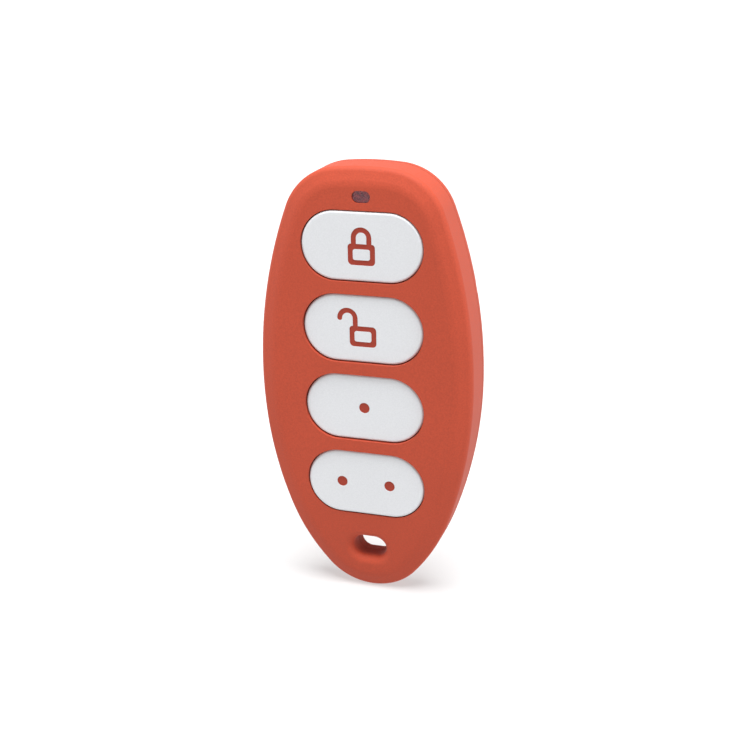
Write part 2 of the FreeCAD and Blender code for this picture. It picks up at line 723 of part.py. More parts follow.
def make_front_cover():
    """The face and side wall, with the key openings, bosses, board rests and locating pins."""
    outer = cut("front_outer", form, [behind("front_parting", PARTING)])
    cavity_full = egg_prism("front_cavity_full", "sizes.wall_thickness", FACE_INNER, BACK)
    cavity = cut("front_cavity", cavity_full, [below("front_cavity_floor", CAVITY_BOTTOM)])
    openings = [
        pill_prism(
            f"{name}_opening",
            "sizes.button_width + 2 * sizes.button_gap",
            "sizes.button_height + 2 * sizes.button_gap",
            DEPTH_SPAN[0],
            f"{FACE_INNER} + sizes.fit_clearance",
            height,
        )
        for name, height in ROW_HEIGHTS.items()
    ]
    window_hole = pill_prism(
        "window_opening",
        "sizes.window_width + 2 * sizes.fit_clearance",
        "sizes.window_height + 2 * sizes.fit_clearance",
        DEPTH_SPAN[0],
        f"{FACE_INNER} + sizes.fit_clearance",
        WINDOW_CENTRE,
    )
    hook_room = block(
        "hook_room",
        ("-sizes.hook_width / 2 - 2 * sizes.fit_clearance", "sizes.hook_width / 2 + 2 * sizes.fit_clearance"),
        (f"{HOOK_FRONT} - 2 * sizes.fit_clearance", f"{HOOK_BACK} + sizes.fit_clearance"),
        (f"{CAVITY_BOTTOM} - sizes.hook_reach - 2 * sizes.fit_clearance",
         f"{CAVITY_BOTTOM} + sizes.hook_reach"),
    )
    shell = cut("front_shell", outer, [cavity, window_hole, hook_room] + openings)
    bosses = rods("boss", "sizes.boss_diameter", FACE_ROOT, f"{BOSS_JOINT} - sizes.fit_clearance",
                  SCREW_PLACES)
    rests = rods("boss_rest", "sizes.board_rest_diameter", FACE_ROOT, BOARD_FRONT, SCREW_PLACES)
    pin_rests = rods("pin_rest", "sizes.board_rest_diameter", FACE_ROOT, BOARD_FRONT, PIN_PLACES)
    pins = rods("pin", "sizes.pin_diameter", FACE_ROOT, f"{BOARD_BACK} + sizes.pin_stand", PIN_PLACES)
    solid = joined("front_solid", [shell] + bosses + rests + pin_rests + pins)
    pilots = rods("pilot", "sizes.screw_diameter",
                  f"{SCREW_SEAT} - sizes.screw_length - sizes.fit_clearance", BACK, SCREW_PLACES)
    node(cut("front_cover", solid, pilots), "front_cover")


def make_back_cover():
    """The rear shell, with its lip, screw bosses, posts that hold the board down, and the hook."""
    outer = common("back_outer", form, behind("back_parting", BACK_COVER_FRONT))
    cavity_full = egg_prism("back_cavity_full", LIP_INNER, DEPTH_SPAN[0], BACK_INNER)
    cavity = cut("back_cavity", cavity_full,
                 [below("back_cavity_floor", CAVITY_BOTTOM), behind("back_wall", BACK_INNER)])
    boss_room = rods("boss_room", f"sizes.boss_diameter + {LOOSE}", DEPTH_SPAN[0], BOSS_JOINT, SCREW_PLACES)
    shell = cut("back_shell", outer, [cavity] + boss_room)
    lip_front = f"({PARTING} - sizes.lip_depth)"
    lip_back = f"({BACK_COVER_FRONT} + sizes.lip_thickness / 2)"
    lip_solid = egg_prism("lip_solid", LIP_OUTER, *DEPTH_SPAN)
    lip_full = common("lip_full", lip_solid, behind("lip_start", lip_front))
    lip_bore = egg_prism("lip_bore", LIP_INNER, *DEPTH_SPAN)
    lip_end = below("lip_end", f"{CAVITY_BOTTOM} + sizes.fit_clearance")
    lip = cut("lip", lip_full, [lip_bore, lip_end, behind("lip_root", lip_back)] + boss_room)
    bosses = rods("back_boss", "sizes.back_boss_diameter", BOSS_JOINT, BACK_ROOT, SCREW_PLACES)
    posts = rods("press_post", "sizes.press_post_diameter", f"{BOARD_BACK} + sizes.fit_clearance", BACK_ROOT,
                 PIN_PLACES)
    hook_sides = ("-sizes.hook_width / 2", "sizes.hook_width / 2")
    rib_top = f"{CAVITY_BOTTOM} + sizes.hook_thickness + 2 * sizes.fit_clearance"
    rib_root = f"({BACK_COVER_FRONT} - {FLOOR_FALL})"
    rib_foot = block("hook_rib_foot", hook_sides, (rib_root, f"{BACK_ROOT} - {FLOOR_FALL}"),
                     (f"{CAVITY_BOTTOM} - sizes.fit_clearance", rib_top))
    rib = block("hook_rib", hook_sides, (HOOK_FRONT, f"{rib_root} + sizes.hook_thickness"),
                (f"{CAVITY_BOTTOM} + 2 * sizes.fit_clearance", rib_top))
    tongue = block("hook_tongue", hook_sides, (HOOK_FRONT, HOOK_BACK),
                   (f"{CAVITY_BOTTOM} - sizes.hook_reach", rib_top))
    solid = joined("back_solid", [shell, lip, rib_foot, rib, tongue] + bosses + posts)
    screw_holes = rods("screw_hole", f"sizes.screw_diameter + {LOOSE}", *DEPTH_SPAN, SCREW_PLACES)
    head_holes = rods("head_hole", f"sizes.screw_head_diameter + {LOOSE}", SCREW_SEAT, DEPTH_SPAN[1],
                      SCREW_PLACES)
    pin_holes = rods("pin_room", f"sizes.pin_diameter + {LOOSE}", DEPTH_SPAN[0],
                     f"{BOARD_BACK} + sizes.pin_stand + 2 * sizes.fit_clearance", PIN_PLACES)
    node(cut("back_cover", solid, screw_holes + head_holes + pin_holes), "back_cover")


def make_screws():
    """Two pan-head screws with driver slots, driven from the back; one node."""
    screws = []
    for side, x, z in SCREW_PLACES:
        shank = cylinder(f"{side}_shank", "sizes.screw_diameter", f"{SCREW_SEAT} - sizes.screw_length",
                         f"{SCREW_SEAT} + sizes.screw_head_thickness / 2", x, z)
        head = cylinder(f"{side}_head", "sizes.screw_head_diameter", SCREW_SEAT,
                        f"{SCREW_SEAT} + sizes.screw_head_thickness", x, z)
        head_top = f"({SCREW_SEAT} + sizes.screw_head_thickness)"
        reach, half_slot = "sizes.screw_head_diameter", "sizes.screw_slot_width / 2"
        driver_slots = [
            block(f"{side}_slot_across", (f"{x} - {reach}", f"{x} + {reach}"),
                  (f"{head_top} - sizes.screw_slot_depth", f"{head_top} + sizes.screw_slot_depth"),
                  (f"{z} - {half_slot}", f"{z} + {half_slot}")),
            block(f"{side}_slot_upright", (f"{x} - {half_slot}", f"{x} + {half_slot}"),
                  (f"{head_top} - sizes.screw_slot_depth", f"{head_top} + sizes.screw_slot_depth"),
                  (f"{z} - {reach}", f"{z} + {reach}")),
        ]
        slot_reach = cylinder(f"{side}_slot_reach", "sizes.screw_slot_span", SCREW_SEAT,
                              f"{head_top} + sizes.screw_slot_depth", x, z)
        cross = common(f"{side}_cross", joined(f"{side}_cross_full", driver_slots), slot_reach)
        screws.append(cut(f"{side}_screw", joined(f"{side}_screw_solid", [shank, head]), [cross]))
    group("cover_screws", screws)


# Keys: a white cap with sunk icon grooves over an orange core, which fills the grooves from behind

def lock_measures():
    """Half width, bottom, top and stroke of the padlock body, in the key's own plane."""
    stroke = number("sizes.icon_stroke")
    half_width = number("sizes.lock_hole_width / 2") + stroke
    bottom = -number("sizes.lock_bottom_drop")
    top = bottom + number("sizes.lock_hole_height") + 2 * stroke
    return half_width, bottom, top, stroke


def add_lock_hole(sketch, half_width, bottom, top, stroke):
    """The rounded rectangle inside a padlock's body."""
    corner = number("sizes.lock_hole_corner_radius")
    side, low, high = half_width - stroke - corner, bottom + stroke + corner, top - stroke - corner
    add_outline(sketch, [
        (Vector(side, low, 0), corner, -90, 0),
        (Vector(side, high, 0), corner, 0, 90),
        (Vector(-side, high, 0), corner, 90, 180),
        (Vector(-side, low, 0), corner, 180, 270),
    ])


def draw_lock(sketch):
    """A closed padlock: a shackle over a rounded body, both drawn as strokes."""
    half_width, bottom, top, stroke = lock_measures()
    mean, spring = number("sizes.shackle_radius"), top + number("sizes.shackle_leg")
    inner, outer = mean - stroke / 2, mean + stroke / 2
    corner = number("sizes.lock_corner_radius")
    shoulder = min(corner, half_width - outer)
    side, low = half_width - corner, bottom + corner
    add_outline(sketch, [
        (Vector(side, low, 0), corner, -90, 0),
        (Vector(half_width - shoulder, top - shoulder, 0), shoulder, 0, 90),
        Vector(outer, top, 0),
        (Vector(0, spring, 0), outer, 0, 180),
        Vector(-outer, top, 0),
        (Vector(shoulder - half_width, top - shoulder, 0), shoulder, 90, 180),
        (Vector(-side, low, 0), corner, 180, 270),
    ])
    add_lock_hole(sketch, half_width, bottom, top, stroke)
    shackle_arc = (Vector(0, spring, 0), inner, 0, 180)
    add_outline(sketch, [Vector(-inner, top, 0), Vector(inner, top, 0), shackle_arc])


def draw_unlock(sketch):
    """An open padlock: one leg of the shackle rises from the body and hooks over to the left."""
    half_width, bottom, top, stroke = lock_measures()
    leg = number("sizes.open_leg_inset") - half_width
    mean, spring = number("sizes.open_shackle_radius"), top + number("sizes.open_shackle_leg")
    inner, outer = mean - stroke / 2, mean + stroke / 2
    corner = number("sizes.lock_corner_radius")
    shoulder = min(corner, number("sizes.open_leg_inset") - stroke / 2)
    side, low, middle = half_width - corner, bottom + corner, leg - mean
    add_outline(sketch, [
        (Vector(side, low, 0), corner, -90, 0),
        (Vector(side, top - corner, 0), corner, 0, 90),
        Vector(leg + stroke / 2, top, 0),
        (Vector(middle, spring, 0), outer, 0, 180),
        (Vector(middle - mean, spring, 0), stroke / 2, 180, 360),
        (Vector(middle, spring, 0), inner, 180, 0),
        Vector(leg - stroke / 2, top, 0),
        (Vector(shoulder - half_width, top - shoulder, 0), shoulder, 90, 180),
        (Vector(-side, low, 0), corner, 180, 270),
    ])
    add_lock_hole(sketch, half_width, bottom, top, stroke)


def dot_places(count):
    """Centres of the dots in one key, evenly spaced about its middle."""
    spacing = number("sizes.dot_spacing")
    return [((index - (count - 1) / 2) * spacing, 0) for index in range(count)]


def draw_dots(count):
    def draw(sketch):
        for place in dot_places(count):
            add_circle(sketch, "sizes.dot_diameter", place)

    return draw


def lock_gate():
    """A point on the bar between a padlock's body and shackle."""
    _, _, top, stroke = lock_measures()
    return [(0, top - stroke / 2)]


ICONS = {
    "lock": (draw_lock, lock_gate()),
    "unlock": (draw_unlock, lock_gate()),
    "one_dot": (draw_dots(1), dot_places(1)),
    "two_dots": (draw_dots(2), dot_places(2)),
}


def make_cap(name, height):
    """The white shot of a key: a hollow pill with icon grooves and a gate through each icon's floor."""
    draw_icon, gates = ICONS[name]
    cap = new_body(f"{name}_button_cap")
    outline = level_sketch(cap, f"{name}_cap_outline", FLANGE_FRONT)
    add_pill(outline, "sizes.button_width", "sizes.button_height")
    pad(cap, outline, f"{FLANGE_FRONT} - {BUTTON_TOP}")
    round_edges(cap, edges_at_level(cap.Tip.Shape, BUTTON_TOP), "sizes.button_edge_radius")
    hollow = level_sketch(cap, f"{name}_cap_hollow", FLANGE_FRONT)
    add_pill(hollow, HOLLOW_WIDTH, HOLLOW_HEIGHT)
    pocket(cap, hollow, f"{FLANGE_FRONT} - {CAP_FLOOR}", forwards=True)
    groove = level_sketch(cap, f"{name}_groove", BUTTON_TOP)
    draw_icon(groove)
    pocket(cap, groove, "sizes.icon_groove_depth")
    gate = level_sketch(cap, f"{name}_gate_hole", GROOVE_FLOOR)
    for place in gates:
        add_circle(gate, "sizes.gate_diameter", place)
    pocket(cap, gate, f"{CAP_FLOOR} - {GROOVE_FLOOR}")
    cap.setExpression("Placement.Base.z", height)
    node(cap, f"{name}_button_cap")


def make_core(name, height):
    """The orange shot of a key: flange, plunger, the filling of the cap and the raised icon."""
    draw_icon, gates = ICONS[name]
    core = new_body(f"{name}_button_core")
    flange = level_sketch(core, f"{name}_flange", FLANGE_BACK)
    add_pill(flange, "sizes.button_width + 2 * sizes.flange_margin",
             "sizes.button_height + 2 * sizes.flange_margin")
    pad(core, flange, "sizes.flange_thickness")
    filling = level_sketch(core, f"{name}_filling", FLANGE_FRONT)
    add_pill(filling, HOLLOW_WIDTH, HOLLOW_HEIGHT)
    pad(core, filling, f"{FLANGE_FRONT} - {CAP_FLOOR}")
    gate = level_sketch(core, f"{name}_gate", CAP_FLOOR)
    for place in gates:
        add_circle(gate, "sizes.gate_diameter", place)
    pad(core, gate, f"{CAP_FLOOR} - {GROOVE_FLOOR}")
    icon = level_sketch(core, f"{name}_icon", GROOVE_FLOOR)
    draw_icon(icon)
    pad(core, icon, "sizes.icon_groove_depth - sizes.icon_recess")
    plunger = level_sketch(core, f"{name}_plunger", FLANGE_BACK)
    add_circle(plunger, "sizes.plunger_diameter")
    pad(core, plunger, "sizes.plunger_length", backwards=True)
    core.setExpression("Placement.Base.z", height)
    node(core, f"{name}_button_core")


# Tactile switches, one behind each key

def make_switch_base(name, height):
    """The moulded base, with a round well for the dome and the stem's foot."""
    base = new_body(f"{name}_switch_base")
    outline = level_sketch(base, f"{name}_base_outline", BOARD_FRONT)
    add_rectangle(outline, "sizes.switch_width", "sizes.switch_width")
    pad(base, outline, f"{BOARD_FRONT} - {SWITCH_BASE_TOP}")
    well = level_sketch(base, f"{name}_well", SWITCH_BASE_TOP)
    add_circle(well, "sizes.switch_well_diameter")
    pocket(base, well, f"{SWITCH_FLOOR} - {SWITCH_BASE_TOP}")
    base.setExpression("Placement.Base.z", height)
    node(base, f"{name}_switch_base")


def make_switch_cover(name, height):
    """The steel plate over the base, with the hole that the stem comes through."""
    cover = new_body(f"{name}_switch_cover")
    outline = level_sketch(cover, f"{name}_cover_outline", SWITCH_BASE_TOP)
    add_rectangle(outline, "sizes.switch_width", "sizes.switch_width")
    add_circle(outline, "sizes.stem_diameter + 2 * sizes.fit_clearance")
    pad(cover, outline, "sizes.switch_cover_thickness")
    cover.setExpression("Placement.Base.z", height)
    node(cover, f"{name}_switch_cover")


def make_switch_stem(name, height):
    """The stem that the key's plunger presses, with a foot that keeps it under the cover."""
    stem = new_body(f"{name}_switch_stem")
    foot = level_sketch(stem, f"{name}_stem_foot", FOOT_BACK)
    add_circle(foot, "sizes.stem_foot_diameter")
    pad(stem, foot, "sizes.stem_foot_thickness")
    post = level_sketch(stem, f"{name}_stem_post", FOOT_BACK)
    add_circle(post, "sizes.stem_diameter")
    pad(stem, post, f"{FOOT_BACK} - {STEM_TOP}")
    stem.setExpression("Placement.Base.z", height)
    node(stem, f"{name}_switch_stem")


def make_switch_dome(name, height):
    """The snap dome: a thin spherical cap that stands on the well's floor and carries the foot."""
    rim, rise = number("sizes.dome_diameter / 2"), number(f"{SWITCH_FLOOR} - {FOOT_BACK}")
    thickness = number("sizes.dome_thickness")
    radius = (rim ** 2 + rise ** 2) / (2 * rise)
    centre = Vector(0, number(FOOT_BACK) + radius, 0)
    shell = Part.makeSphere(radius, centre).cut(Part.makeSphere(radius - thickness, centre))
    keep = Part.makeBox(4 * rim, rise, 4 * rim, Vector(-2 * rim, number(FOOT_BACK), -2 * rim))
    dome = doc.addObject("Part::Feature", f"{name}_switch_dome")
    dome.Shape = shell.common(keep)
    dome.setExpression("Placement.Base.z", height)
    node(dome, f"{name}_switch_dome")


def make_terminals():
    """Four solder legs beside each switch; one node."""
    legs = []
    outer = "(sizes.switch_width / 2 + sizes.terminal_length)"
    inner = "(sizes.switch_width / 2)"
    for name, height in ROW_HEIGHTS.items():
        for side, sign in SIDES.items():
            across = (inner, outer) if side == "right" else (f"-{outer}", f"-{inner}")
            for place, up in (("low", -1), ("high", 1)):
                middle = f"({height} + {up} * sizes.terminal_spacing / 2)"
                tall = (f"{middle} - sizes.terminal_width / 2", f"{middle} + sizes.terminal_width / 2")
                deep = (f"{BOARD_FRONT} - sizes.terminal_thickness", BOARD_FRONT)
                legs.append(block(f"{name}_{side}_{place}_terminal", across, deep, tall))
    group("switch_terminals", legs)


# Indicator

def make_window():
    """The smoky light pipe: an obround window, a rim behind the face and a stub towards the light."""
    window = new_body("indicator_window")
    rim = level_sketch(window, "window_rim_outline", WINDOW_RIM_BACK)
    add_pill(rim, "sizes.window_width + 2 * sizes.window_rim", "sizes.window_height + 2 * sizes.window_rim",
             WINDOW_CENTRE)
    pad(window, rim, "sizes.window_rim_thickness")
    front = level_sketch(window, "window_front_outline", FACE_INNER)
    add_pill(front, "sizes.window_width", "sizes.window_height", WINDOW_CENTRE)
    pad(window, front, f"{FACE_INNER} - {FACE} - {WINDOW_FALL} - sizes.window_recess")
    stub = level_sketch(window, "window_stub_outline", WINDOW_RIM_BACK)
    add_pill(stub, "sizes.window_width", "sizes.window_height", WINDOW_CENTRE)
    pad(window, stub, f"{LIGHT_TOP} - sizes.light_gap - {WINDOW_RIM_BACK}", backwards=True)
    node(window, "indicator_window")


def make_light():
    """The indicator light: a flat carrier on the board with a clear block on it."""
    light = new_body("indicator_light")
    carrier = level_sketch(light, "light_carrier", BOARD_FRONT)
    add_rectangle(carrier, "sizes.light_width", "sizes.light_height")
    pad(light, carrier, "sizes.light_base_thickness")
    lens = level_sketch(light, "light_lens", f"({BOARD_FRONT} - sizes.light_base_thickness)")
    add_rectangle(lens, "sizes.light_lens_width", "sizes.light_height")
    pad(light, lens, "sizes.light_lens_thickness")
    light.setExpression("Placement.Base.z", WINDOW_CENTRE)
    node(light, "indicator_light")


# Circuit board and what it carries

def make_board():
    """The board: the housing's outline drawn in, cut off above the nose, open round posts and pins."""
    inset = "(sizes.wall_thickness + sizes.board_edge_gap)"
    full = egg_prism("board_full", inset, BOARD_FRONT, BOARD_BACK)
    nose_end = below("board_end", f"{CAVITY_BOTTOM} + sizes.board_end_gap")
    notches = rods("board_notch", f"sizes.boss_diameter + {LOOSE}", *DEPTH_SPAN, SCREW_PLACES)
    holes = rods("board_hole", "sizes.pin_diameter + 2 * sizes.fit_clearance", *DEPTH_SPAN, PIN_PLACES)
    node(cut("circuit_board", full, [nose_end] + notches + holes), "circuit_board")


def make_radio_chip():
    """The radio chip's body; its legs are a node of their own."""
    half_width, half_height = "sizes.chip_width / 2", "sizes.chip_height / 2"
    legs_back = f"({BOARD_BACK} + sizes.chip_leg_thickness)"
    chip = block(
        "radio_chip",
        (f"-{half_width}", half_width),
        (legs_back, f"{legs_back} + sizes.chip_thickness"),
        (f"{CHIP_CENTRE} - {half_height}", f"{CHIP_CENTRE} + {half_height}"),
    )
    node(chip, "radio_chip")
    legs = []
    deep = (BOARD_BACK, legs_back)
    for up, row in ((1, "upper"), (-1, "lower")):
        for step in range(CHIP_LEGS_PER_ROW):
            middle = f"({step} - {(CHIP_LEGS_PER_ROW - 1) / 2}) * sizes.chip_leg_pitch"
            across = (f"{middle} - sizes.chip_leg_width / 2", f"{middle} + sizes.chip_leg_width / 2")
            edge = f"{CHIP_CENTRE} + {up} * {half_height}"
            inner = f"{edge} - {up} * sizes.chip_leg_length / 2"
            outer = f"{edge} + {up} * sizes.chip_leg_length / 2"
            tall = (inner, outer) if up > 0 else (outer, inner)
            legs.append(block(f"chip_{row}_leg_{step + 1}", across, deep, tall))
    group("radio_chip_legs", legs)


def make_crystal():
    """The crystal's can, beside the chip."""
    can = new_body("crystal")
    outline = level_sketch(can, "crystal_outline", BOARD_BACK)
    add_rectangle(outline, "sizes.crystal_width", "sizes.crystal_height")
    pad(can, outline, "sizes.crystal_thickness", backwards=True)
    can.setExpression("Placement.Base.x", "sizes.crystal_offset")
    can.setExpression("Placement.Base.z", CHIP_CENTRE)
    node(can, "crystal")


def make_antenna():
    """A stamped strip that follows the crown along the board's edge."""
    outer_inset = "(sizes.wall_thickness + sizes.board_edge_gap + sizes.antenna_edge_gap)"
    back = f"({BOARD_BACK} + sizes.antenna_thickness)"
    outer = egg_prism("antenna_outer", outer_inset, BOARD_BACK, back)
    inner = egg_prism("antenna_inner", f"{outer_inset} + sizes.antenna_width", BOARD_FRONT, BACK)
    end = below("antenna_end", ANTENNA_BOTTOM)
    node(cut("loop_antenna", outer, [inner, end]), "loop_antenna")


def chip_part(name, across_middle, height_middle, upright):
    """One small two-ended part on the board's back."""
    length, width = ("sizes.passive_length / 2", "sizes.passive_width / 2")
    half_x, half_z = (width, length) if upright else (length, width)
    return block(
        name,
        (f"{across_middle} - {half_x}", f"{across_middle} + {half_x}"),
        (BOARD_BACK, f"{BOARD_BACK} + sizes.passive_thickness"),
        (f"{height_middle} - {half_z}", f"{height_middle} + {half_z}"),
    )


def make_passives():
    """A row of resistors under the chip and a column of capacitors beside it; one node each."""
    resistors = [
        chip_part(f"resistor_{index + 1}", f"({index} - {(RESISTORS - 1) / 2}) * sizes.passive_pitch",
                  RESISTOR_ROW, upright=True)
        for index in range(RESISTORS)
    ]
    group("chip_resistors", resistors)
    capacitors = [
        chip_part(f"capacitor_{index + 1}", "-sizes.crystal_offset",
                  f"{CHIP_CENTRE} + ({index} - {(CAPACITORS - 1) / 2}) * sizes.capacitor_pitch",
                  upright=False)
        for index in range(CAPACITORS)
    ]
    group("chip_capacitors", capacitors)


# Coin cell and its contacts

def make_cell():
    """The coin cell, its narrower negative cap towards the board."""
    cell = new_body("coin_cell")
    cap = level_sketch(cell, "cell_cap_outline", f"({CELL_FRONT} + sizes.cell_cap_thickness)")
    add_circle(cap, "sizes.cell_cap_diameter")
    pad(cell, cap, "sizes.cell_cap_thickness")
    can = level_sketch(cell, "cell_can_outline", CELL_BACK)
    add_circle(can, "sizes.cell_diameter")
    pad(cell, can, "sizes.cell_thickness - sizes.cell_cap_thickness")
    round_edges(cell, edges_at_level(cell.Tip.Shape, CELL_BACK), "sizes.cell_edge_radius")
    cell.setExpression("Placement.Base.z", CELL_CENTRE)
    node(cell, "coin_cell")


def make_battery_contacts():
    """The pad under the cell and the spring strip over it, with a soldered foot on each side."""
    pad_disc = cylinder("battery_pad", "sizes.battery_pad_diameter", BOARD_BACK, CELL_FRONT, "0",
                        CELL_CENTRE)
    node(pad_disc, "battery_pad")
    clip = new_body("battery_clip")
    profile = body_sketch(clip, "clip_profile", "XY_Plane")
    inner = number("sizes.cell_diameter / 2 + sizes.clip_side_gap")
    thickness, foot = number("sizes.clip_thickness"), number("sizes.clip_foot")
    board, under, over = number(BOARD_BACK), number(CELL_BACK), number(CLIP_BACK)
    outer, toe = inner + thickness, inner + thickness + foot
    step = board + thickness
    right_side = [(inner, board), (toe, board), (toe, step), (outer, step), (outer, over)]
    left_side = [(-x, y) for x, y in reversed(right_side)]
    corners = [(inner, under)] + right_side + left_side + [(-inner, under)]
    add_outline(profile, [Vector(x, y, 0) for x, y in corners])
    strip = pad(clip, profile, "sizes.clip_width")
    strip.Midplane = True
    clip.setExpression("Placement.Base.z", CELL_CENTRE)
    node(clip, "battery_clip")


make_front_cover()
make_back_cover()
for key, key_height in ROW_HEIGHTS.items():
    make_cap(key, key_height)
    make_core(key, key_height)
    make_switch_base(key, key_height)
    make_switch_cover(key, key_height)
    make_switch_stem(key, key_height)
    make_switch_dome(key, key_height)
make_terminals()
make_window()
make_light()
make_board()
make_radio_chip()
make_crystal()
make_antenna()
make_passives()
make_cell()
make_battery_contacts()
make_screws()
doc.recompute()

failed = [item.Name for item in doc.Objects if "Invalid" in item.State or "Error" in item.State]
if failed:
    raise RuntimeError(f"failed objects: {failed}")
for item in nodes:
    if item.Shape.isNull() or not item.Shape.isValid():
        raise RuntimeError(f"{item.Label} has no valid shape")

os.makedirs("parts", exist_ok=True)
for item in nodes:
    item.Shape.exportStep(f"parts/{item.Label}.step")
    print(item.Label, len(item.Shape.Solids), round(item.Shape.Volume, 3))
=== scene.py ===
import json
import math
import bpy
from mathutils import Matrix, Vector


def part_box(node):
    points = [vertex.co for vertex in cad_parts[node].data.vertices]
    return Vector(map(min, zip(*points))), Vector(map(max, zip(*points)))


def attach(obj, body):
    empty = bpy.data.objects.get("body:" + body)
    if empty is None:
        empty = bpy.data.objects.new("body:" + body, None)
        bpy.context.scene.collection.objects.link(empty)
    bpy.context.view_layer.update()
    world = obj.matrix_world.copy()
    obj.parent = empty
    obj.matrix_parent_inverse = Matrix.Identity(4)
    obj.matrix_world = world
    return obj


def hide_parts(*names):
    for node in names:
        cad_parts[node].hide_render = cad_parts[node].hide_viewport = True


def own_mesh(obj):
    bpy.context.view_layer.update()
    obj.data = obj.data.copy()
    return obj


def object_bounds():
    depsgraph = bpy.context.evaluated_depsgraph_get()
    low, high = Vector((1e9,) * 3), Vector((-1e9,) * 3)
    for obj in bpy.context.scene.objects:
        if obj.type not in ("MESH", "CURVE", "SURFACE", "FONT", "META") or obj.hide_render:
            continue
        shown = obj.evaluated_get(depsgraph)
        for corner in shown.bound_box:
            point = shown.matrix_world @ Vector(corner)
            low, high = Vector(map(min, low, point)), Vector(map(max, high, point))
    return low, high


# A key fob transmitter on a plain pale floor, seen from the front, a little from its right and above.
# Metres, in the object's own frame: +Z from the tip to the crown, and the keys face -Y.

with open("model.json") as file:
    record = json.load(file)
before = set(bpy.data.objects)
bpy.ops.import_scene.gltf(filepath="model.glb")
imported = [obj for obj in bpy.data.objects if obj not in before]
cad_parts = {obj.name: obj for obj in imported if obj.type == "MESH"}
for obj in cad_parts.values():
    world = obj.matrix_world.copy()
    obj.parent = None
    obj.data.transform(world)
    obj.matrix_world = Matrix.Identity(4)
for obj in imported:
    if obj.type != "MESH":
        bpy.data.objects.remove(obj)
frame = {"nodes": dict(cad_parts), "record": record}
cad_low, cad_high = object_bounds()
MM = 0.001

# Camera, turned round a point level with the key tops, and how far that point lies from the image's middle
IMAGE_WIDTH_PX = 743
FOCAL_PX = 1288
SENSOR_WIDTH_MM = 36.0
AZIMUTH = math.radians(18.43)
ELEVATION = math.radians(19.38)
ROLL = math.radians(-1.02)
DISTANCE = 207 * MM
CLIP_START = 10 * MM
KEY_TOPS_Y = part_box("lock_button_cap")[0].y
VIEW_CENTRE = Vector((0, KEY_TOPS_Y, 39.6 * MM))
CENTRE_ASIDE = -1.27 * MM
CENTRE_ALOFT = -0.15 * MM

# The keys
KEYS = ("lock", "unlock", "one_dot", "two_dots")

# Light on the object: soft light from overhead, and side lamps placed from the object's middle
OBJECT_MIDDLE = (cad_low + cad_high) / 2
AMBIENT = 0.28
OVERHEAD = {"away": (0.07, -0.14, 1.0), "spread": math.radians(44), "power": 5.6}
LAMPS = {
    "right_softbox": {"away": (0.60, -0.12, 0.04), "size": 0.45, "power": 2.1},
    "left_softbox": {"away": (-0.58, -0.18, -0.02), "size": 0.45, "power": 2.0},
}

# The floor: its colour and glow as it lights the object, then as it is seen, white with a faint shadow
FLOOR_WIDTH = 12.0
FLOOR_COLOUR = 0.10
FLOOR_GLOW = 0.77
FLOOR_SEEN_COLOUR = 0.36
FLOOR_SEEN_GLOW = 0.50

# The values between which most of a noise lies
NOISE_LOW = 0.3
NOISE_HIGH = 0.7

# Moulded plastic: its broad unevenness, as a width in millimetres and a multiple of the grain's depth
BROAD_WIDTH = 14.0
BROAD_DEPTH = 2

# Metal: its fine lines and its stains, with widths and depth in millimetres
LINE_WIDTH = 0.05
LINE_DEPTH = 0.004
LINE_ROUGHNESS = 0.08
STAIN_WIDTH = 3.0
STAIN_SHADE = 0.82


# Shader helpers

class Shader:
    """A material under construction: its nodes, and the object's own coordinates in millimetres."""

    def __init__(self, name):
        self.material = bpy.data.materials.new(name)
        self.material.use_nodes = True
        self.tree = self.material.node_tree
        self.principled = self.tree.nodes["Principled BSDF"]
        coordinates = self.node("ShaderNodeTexCoord")
        scaled = self.node("ShaderNodeMapping")
        scaled.inputs["Scale"].default_value = (1 / MM,) * 3
        self.link(coordinates.outputs["Object"], scaled.inputs["Vector"])
        self.place = scaled.outputs["Vector"]

    def node(self, kind, **settings):
        made = self.tree.nodes.new(kind)
        for key, value in settings.items():
            setattr(made, key, value)
        return made

    def link(self, source, target):
        self.tree.links.new(source, target)

    def set(self, **values):
        """Sets plain values on the surface shader."""
        for key, value in values.items():
            self.principled.inputs[key.replace("_", " ")].default_value = value

    def noise(self, width, place=None, detail=2.0):
        """Noise whose features are about as wide as a width in millimetres."""
        made = self.node("ShaderNodeTexNoise")
        self.link(place or self.place, made.inputs["Vector"])
        made.inputs["Scale"].default_value = 1 / width
        made.inputs["Detail"].default_value = detail
        return made.outputs["Fac"]

    def ramp(self, factor, low, high, start=NOISE_LOW, end=NOISE_HIGH):
        """Colours from low to high as a factor goes from start to end."""
        made = self.node("ShaderNodeValToRGB")
        self.link(factor, made.inputs["Fac"])
        for element, position, colour in zip(made.color_ramp.elements, (start, end), (low, high)):
            element.position = position
            element.color = (*colour, 1.0)
        return made.outputs["Color"]

    def grey_ramp(self, factor, low, high):
        """Plain values from low to high as a noise goes over its usual range."""
        made = self.node("ShaderNodeMapRange")
        self.link(factor, made.inputs["Value"])
        made.inputs["From Min"].default_value = NOISE_LOW
        made.inputs["From Max"].default_value = NOISE_HIGH
        made.inputs["To Min"].default_value = low
        made.inputs["To Max"].default_value = high
        return made.outputs["Result"]

    def colour(self, output):
        self.link(output, self.principled.inputs["Base Color"])

    def roughness(self, output):
        self.link(output, self.principled.inputs["Roughness"])

    def bump(self, *layers):
        """Raises the surface by some heights: pairs of output and depth in millimetres."""
        normal = None
        for height, depth in layers:
            made = self.node("ShaderNodeBump")
            made.inputs["Distance"].default_value = depth * MM
            self.link(height, made.inputs["Height"])
            if normal:
                self.link(normal, made.inputs["Normal"])
            normal = made.outputs["Normal"]
        self.link(normal, self.principled.inputs["Normal"])


